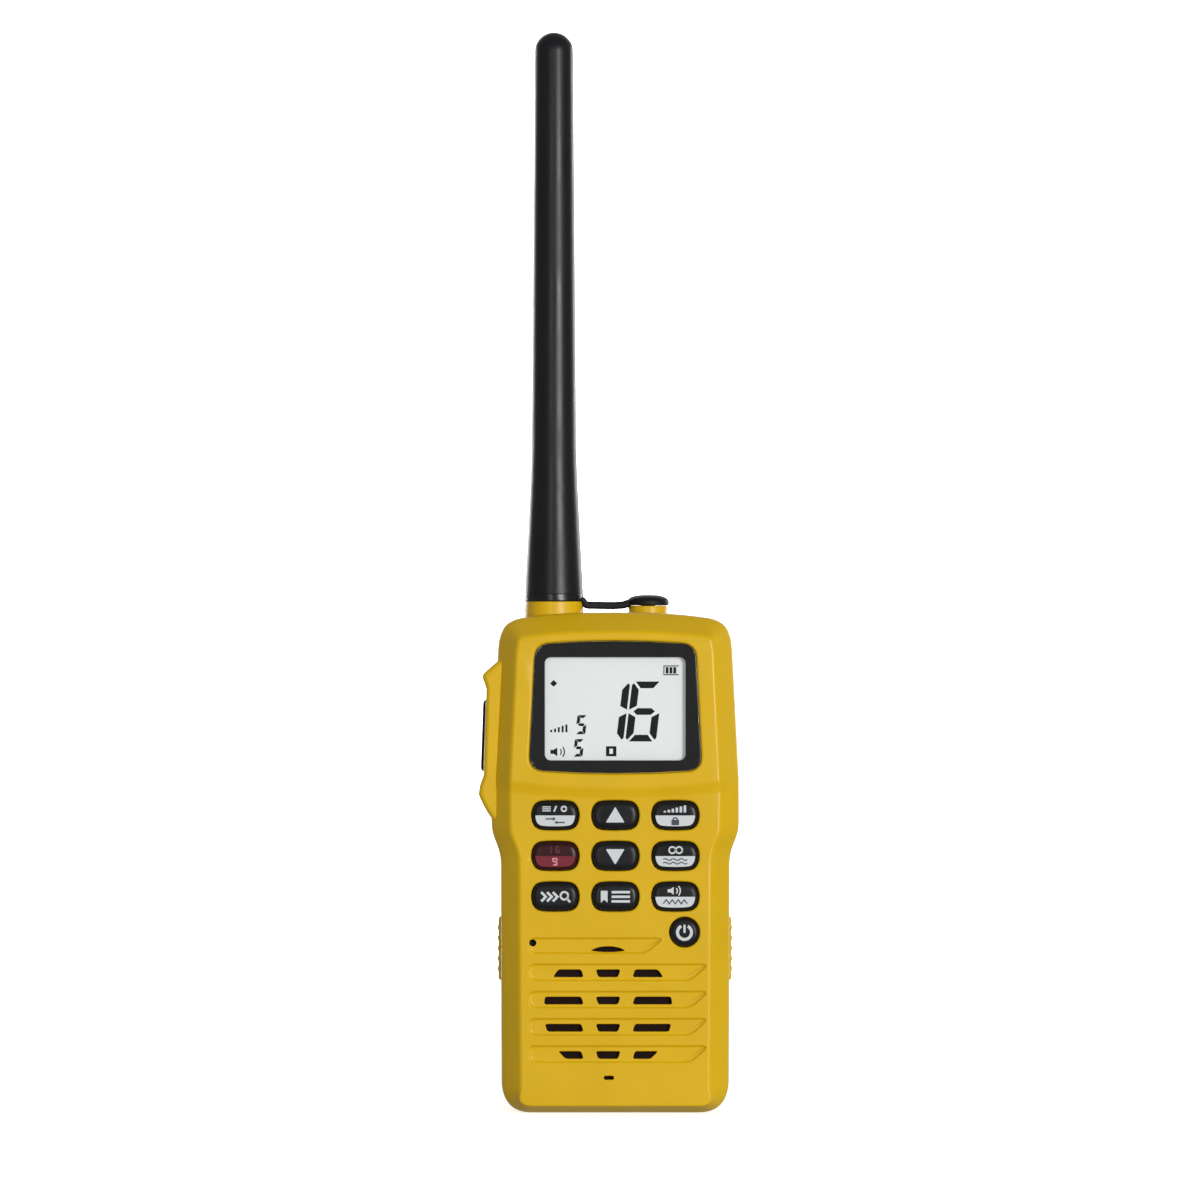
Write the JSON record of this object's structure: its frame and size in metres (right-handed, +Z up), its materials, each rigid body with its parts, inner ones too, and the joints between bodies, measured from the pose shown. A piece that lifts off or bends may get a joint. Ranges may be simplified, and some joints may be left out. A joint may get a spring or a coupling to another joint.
{
  "type": "handheld marine radio",
  "caption": "Waterproof handheld two-way marine VHF radio with keypad, display, side talk key, screw-in whip aerial, tethered jack cap, clip-on battery pack and belt clip.",
  "frame": {"origin": "on the flat underside, at the middle of the width and directly below the aerial's axis in depth", "axes": "+Z up along the aerial, +X to the right of somebody facing the keypad, the keypad and display face -Y"},
  "size_m": [0.0657, 0.0447, 0.2717],
  "materials": {
    "case_yellow": "satin",
    "black_rubber": "matte",
    "black_foam": "matte",
    "window": "gloss",
    "display_panel": "gloss",
    "light_guide": "satin",
    "key_silicone": "satin",
    "red_silicone": "satin",
    "steel": "satin",
    "circuit_board": "satin",
    "cast_aluminium": "satin",
    "speaker_paper": "matte",
    "magnet": "satin",
    "black_plastic": "satin",
    "brass": "satin",
    "cell_can": "satin"
  },
  "bodies": {
    "radio_body": {"front_case": "case_yellow", "rear_case": "case_yellow", "case_seal": "black_foam", "display_window": "window", "window_gasket": "black_foam", "lcd_panel": "display_panel", "lcd_light_guide": "light_guide", "keypad_mat": "key_silicone", "dome_sheet": "steel", "front_board": "circuit_board", "board_connector": "light_guide", "chassis": "cast_aluminium", "rf_board": "circuit_board", "shield_can": "cast_aluminium", "speaker_membrane": "black_foam", "speaker_frame": "steel", "speaker_cone": "speaker_paper", "speaker_magnet": "magnet", "mic_capsule": "cast_aluminium", "mic_boot": "black_rubber", "talk_panel": "black_rubber", "talk_switch": "black_plastic", "aerial_socket": "brass", "aerial_feed": "brass", "tether_ring": "black_rubber", "jack_socket": "black_plastic", "case_screw_1": "steel", "case_screw_2": "steel", "case_screw_3": "steel", "case_screw_4": "steel", "battery_terminal": "brass"},
    "key_channel": {"key_channel": "key_silicone"},
    "key_up": {"key_up": "key_silicone"},
    "key_power_level": {"key_power_level": "key_silicone"},
    "key_priority": {"key_priority": "red_silicone"},
    "key_down": {"key_down": "key_silicone"},
    "key_dual_watch": {"key_dual_watch": "key_silicone"},
    "key_scan": {"key_scan": "key_silicone"},
    "key_memory": {"key_memory": "key_silicone"},
    "key_volume": {"key_volume": "key_silicone"},
    "key_power": {"key_power": "key_silicone"},
    "talk_key": {"talk_key": "black_rubber"},
    "aerial_seal": {"aerial_seal": "black_rubber"},
    "aerial": {"aerial_whip": "black_rubber", "aerial_coil": "brass", "aerial_stud": "brass"},
    "jack_cap": {"jack_cap": "black_rubber"},
    "battery_pack": {"battery_shell": "case_yellow", "battery_lid": "black_plastic", "battery_cell_1": "cell_can", "battery_cell_2": "cell_can", "pack_terminal": "black_plastic", "charge_contact_1": "brass", "charge_contact_2": "brass", "clip_pin": "steel", "clip_spring": "steel"},
    "release_left": {"release_left": "case_yellow"},
    "release_right": {"release_right": "case_yellow"},
    "belt_clip": {"belt_clip": "black_plastic"}
  },
  "joints": [
    {"name": "key_channel_press", "type": "slide", "parent": "radio_body", "child": "key_channel", "axis": [0, 1, 0], "range_m": [0, 0.0009], "stiffness_N_per_m": 600, "springref_m": -0.001},
    {"name": "key_up_press", "type": "slide", "parent": "radio_body", "child": "key_up", "axis": [0, 1, 0], "range_m": [0, 0.0009], "stiffness_N_per_m": 600, "springref_m": -0.001},
    {"name": "key_power_level_press", "type": "slide", "parent": "radio_body", "child": "key_power_level", "axis": [0, 1, 0], "range_m": [0, 0.0009], "stiffness_N_per_m": 600, "springref_m": -0.001},
    {"name": "key_priority_press", "type": "slide", "parent": "radio_body", "child": "key_priority", "axis": [0, 1, 0], "range_m": [0, 0.0009], "stiffness_N_per_m": 600, "springref_m": -0.001},
    {"name": "key_down_press", "type": "slide", "parent": "radio_body", "child": "key_down", "axis": [0, 1, 0], "range_m": [0, 0.0009], "stiffness_N_per_m": 600, "springref_m": -0.001},
    {"name": "key_dual_watch_press", "type": "slide", "parent": "radio_body", "child": "key_dual_watch", "axis": [0, 1, 0], "range_m": [0, 0.0009], "stiffness_N_per_m": 600, "springref_m": -0.001},
    {"name": "key_scan_press", "type": "slide", "parent": "radio_body", "child": "key_scan", "axis": [0, 1, 0], "range_m": [0, 0.0009], "stiffness_N_per_m": 600, "springref_m": -0.001},
    {"name": "key_memory_press", "type": "slide", "parent": "radio_body", "child": "key_memory", "axis": [0, 1, 0], "range_m": [0, 0.0009], "stiffness_N_per_m": 600, "springref_m": -0.001},
    {"name": "key_volume_press", "type": "slide", "parent": "radio_body", "child": "key_volume", "axis": [0, 1, 0], "range_m": [0, 0.0009], "stiffness_N_per_m": 600, "springref_m": -0.001},
    {"name": "key_power_press", "type": "slide", "parent": "radio_body", "child": "key_power", "axis": [0, 1, 0], "range_m": [0, 0.0009], "stiffness_N_per_m": 600, "springref_m": -0.001},
    {"name": "talk_key_press", "type": "slide", "parent": "radio_body", "child": "talk_key", "axis": [0.9994, 0, -0.0336], "range_m": [0, 0.0012], "stiffness_N_per_m": 1500, "springref_m": -0.001},
    {"name": "aerial_lift", "type": "slide", "parent": "radio_body", "child": "aerial_seal", "axis": [0, 0, 1], "range_m": [0, 0.006]},
    {"name": "aerial_turn", "type": "hinge", "parent": "aerial_seal", "child": "aerial", "pos_m": [-0.0154, 0, 0.12825], "axis": [0, 0, 1], "range_deg": [0, 2161]},
    {"name": "jack_cap_swing", "type": "hinge", "parent": "radio_body", "child": "jack_cap", "pos_m": [-0.0075, 0, 0.12985], "axis": [0, -1, 0], "range_deg": [0, 75]},
    {"name": "battery_release", "type": "slide", "parent": "radio_body", "child": "battery_pack", "axis": [0, 1, 0], "range_m": [0, 0.022]},
    {"name": "release_left_squeeze", "type": "slide", "parent": "battery_pack", "child": "release_left", "axis": [1, 0, 0], "range_m": [0, 0.0011], "stiffness_N_per_m": 1500, "springref_m": -0.001},
    {"name": "release_right_squeeze", "type": "slide", "parent": "battery_pack", "child": "release_right", "axis": [-1, 0, 0], "range_m": [0, 0.0011], "stiffness_N_per_m": 1500, "springref_m": -0.001},
    {"name": "belt_clip_open", "type": "hinge", "parent": "battery_pack", "child": "belt_clip", "pos_m": [0, 0.0226, 0.068], "axis": [1, 0, 0], "range_deg": [0, 18], "stiffness_Nm_per_rad": 0.15, "springref_deg": -20.05}
  ],
  "couplings": [
    {"joint": "aerial_turn", "follows": "aerial_lift", "rad_per_m": 6283.2}
  ]
}
